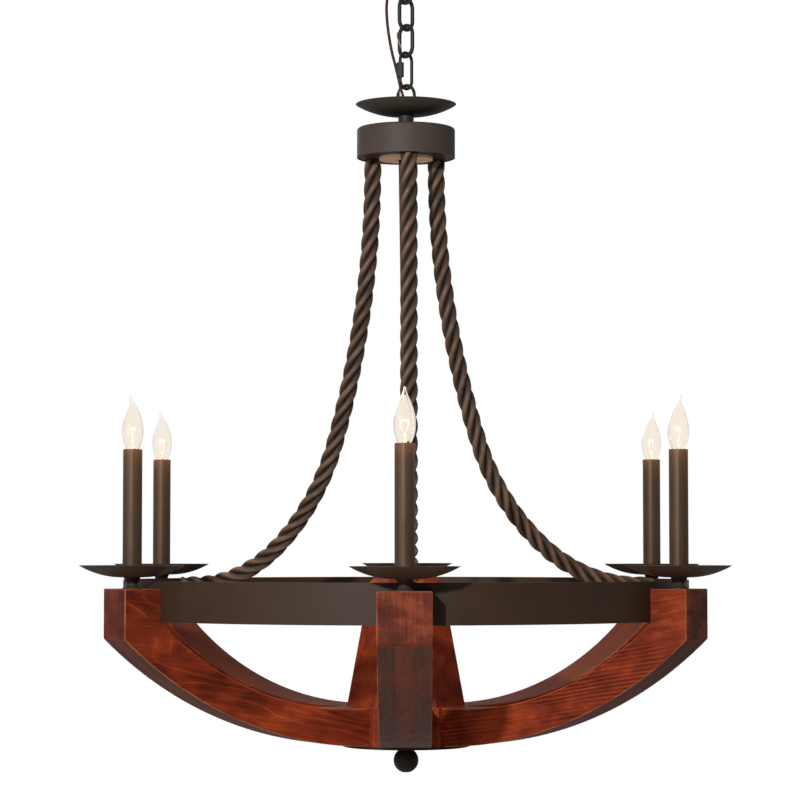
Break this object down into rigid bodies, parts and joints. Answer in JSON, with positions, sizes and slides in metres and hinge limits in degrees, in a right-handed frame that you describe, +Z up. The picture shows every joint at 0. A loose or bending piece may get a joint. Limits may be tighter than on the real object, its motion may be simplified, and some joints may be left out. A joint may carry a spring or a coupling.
{
  "type": "multi arm chandelier",
  "caption": "Hanging candle-style chandelier with curved wooden arms on an iron ring, twisted rods up to a drum hub, drip dishes, bent-tip bulbs, chain and canopy.",
  "frame": {"origin": "middle of the canopy's rim, level with the ceiling", "axes": "+Z up, -Y the way one of the arms points, X along the ceiling box's two screw slots"},
  "size_m": [0.9458, 1.0684, 1.3063],
  "materials": {
    "dark_bronze": "satin dark bronze",
    "rod_bronze": "satin dark bronze, rubbed on the strands",
    "chain_bronze": "satin dark bronze",
    "stained_wood": "red-brown stain, satin",
    "lamp_glass": "clear",
    "cord_sheath": "brown sheath",
    "socket_shell": "dark",
    "zinc_steel": "zinc plated",
    "copper_paint": "light bronze"
  },
  "bodies": {
    "canopy": {"mounting_bar": "zinc_steel", "canopy": "dark_bronze", "canopy_loop": "dark_bronze", "canopy_ring_nut": "dark_bronze", "lamp_cord_1": "cord_sheath"},
    "link_1": {"chain_link_1": "chain_bronze", "lamp_cord_2": "cord_sheath"},
    "link_2": {"chain_link_2": "chain_bronze", "lamp_cord_3": "cord_sheath"},
    "link_3": {"chain_link_3": "chain_bronze", "lamp_cord_4": "cord_sheath"},
    "quick_link": {"quick_link": "chain_bronze", "lamp_cord_5": "cord_sheath"},
    "quick_link_nut": {"quick_link_nut": "chain_bronze"},
    "bulb_1": {"bulb_1": "lamp_glass"},
    "bulb_2": {"bulb_2": "lamp_glass"},
    "bulb_3": {"bulb_3": "lamp_glass"},
    "bulb_4": {"bulb_4": "lamp_glass"},
    "bulb_5": {"bulb_5": "lamp_glass"},
    "bulb_6": {"bulb_6": "lamp_glass"},
    "fixture": {"fixture_loop": "dark_bronze", "top_dish": "dark_bronze", "hub_neck": "dark_bronze", "hub_drum": "dark_bronze", "hub_plate": "dark_bronze", "hub_cover": "copper_paint", "hub_pipe": "dark_bronze", "hub_nuts": "zinc_steel", "twisted_rod_1": "rod_bronze", "twisted_rod_2": "rod_bronze", "twisted_rod_3": "rod_bronze", "ring": "dark_bronze", "ring_screws": "zinc_steel", "arm_1": "stained_wood", "arm_2": "stained_wood", "arm_3": "stained_wood", "arm_4": "stained_wood", "arm_5": "stained_wood", "arm_6": "stained_wood", "core": "stained_wood", "post": "stained_wood", "base_plate": "dark_bronze", "ball_finial": "dark_bronze", "post_pipe": "dark_bronze", "post_top_nut": "dark_bronze", "dish_stems": "dark_bronze", "drip_dish_1": "dark_bronze", "drip_dish_2": "dark_bronze", "drip_dish_3": "dark_bronze", "drip_dish_4": "dark_bronze", "drip_dish_5": "dark_bronze", "drip_dish_6": "dark_bronze", "candle_sleeve_1": "dark_bronze", "candle_sleeve_2": "dark_bronze", "candle_sleeve_3": "dark_bronze", "candle_sleeve_4": "dark_bronze", "candle_sleeve_5": "dark_bronze", "candle_sleeve_6": "dark_bronze", "lamp_sockets": "socket_shell", "lower_lead": "cord_sheath"}
  },
  "joints": [
    {"name": "canopy_loop_swing", "type": "hinge", "parent": "canopy", "child": "link_1", "pos_m": [0, 0, -0.0795], "axis": [0.7071, 0.7071, 0], "range_deg": [-20, 20], "deforming": ["lamp_cord_1"]},
    {"name": "link_1_swing", "type": "hinge", "parent": "link_1", "child": "link_2", "pos_m": [0, 0, -0.1219], "axis": [-0.7071, 0.7071, 0], "range_deg": [-20, 20], "deforming": ["lamp_cord_2"]},
    {"name": "link_2_swing", "type": "hinge", "parent": "link_2", "child": "link_3", "pos_m": [0, 0, -0.16375], "axis": [0.7071, 0.7071, 0], "range_deg": [-20, 20], "deforming": ["lamp_cord_3"]},
    {"name": "link_3_swing", "type": "hinge", "parent": "link_3", "child": "quick_link", "pos_m": [0, 0, -0.2056], "axis": [-0.7071, 0.7071, 0], "range_deg": [-20, 20], "deforming": ["lamp_cord_4"]},
    {"name": "fixture_turn", "type": "hinge", "parent": "quick_link", "child": "fixture", "pos_m": [0, 0, -0.2559], "axis": [0, 0, 1], "range_deg": [-30, 30], "deforming": ["lamp_cord_5"]},
    {"name": "quick_link_nut_turn", "type": "hinge", "parent": "quick_link", "child": "quick_link_nut", "pos_m": [-0.00884, -0.00884, -0.2279], "axis": [0, 0, 1], "continuous": true},
    {"name": "bulb_1_turn", "type": "hinge", "parent": "fixture", "child": "bulb_1", "pos_m": [0, -0.4572, -0.82598], "axis": [0, 0, 1], "continuous": true},
    {"name": "bulb_2_turn", "type": "hinge", "parent": "fixture", "child": "bulb_2", "pos_m": [0.39595, -0.2286, -0.82598], "axis": [0, 0, 1], "continuous": true},
    {"name": "bulb_3_turn", "type": "hinge", "parent": "fixture", "child": "bulb_3", "pos_m": [0.39595, 0.2286, -0.82598], "axis": [0, 0, 1], "continuous": true},
    {"name": "bulb_4_turn", "type": "hinge", "parent": "fixture", "child": "bulb_4", "pos_m": [0, 0.4572, -0.82598], "axis": [0, 0, 1], "continuous": true},
    {"name": "bulb_5_turn", "type": "hinge", "parent": "fixture", "child": "bulb_5", "pos_m": [-0.39595, 0.2286, -0.82598], "axis": [0, 0, 1], "continuous": true},
    {"name": "bulb_6_turn", "type": "hinge", "parent": "fixture", "child": "bulb_6", "pos_m": [-0.39595, -0.2286, -0.82598], "axis": [0, 0, 1], "continuous": true}
  ]
}
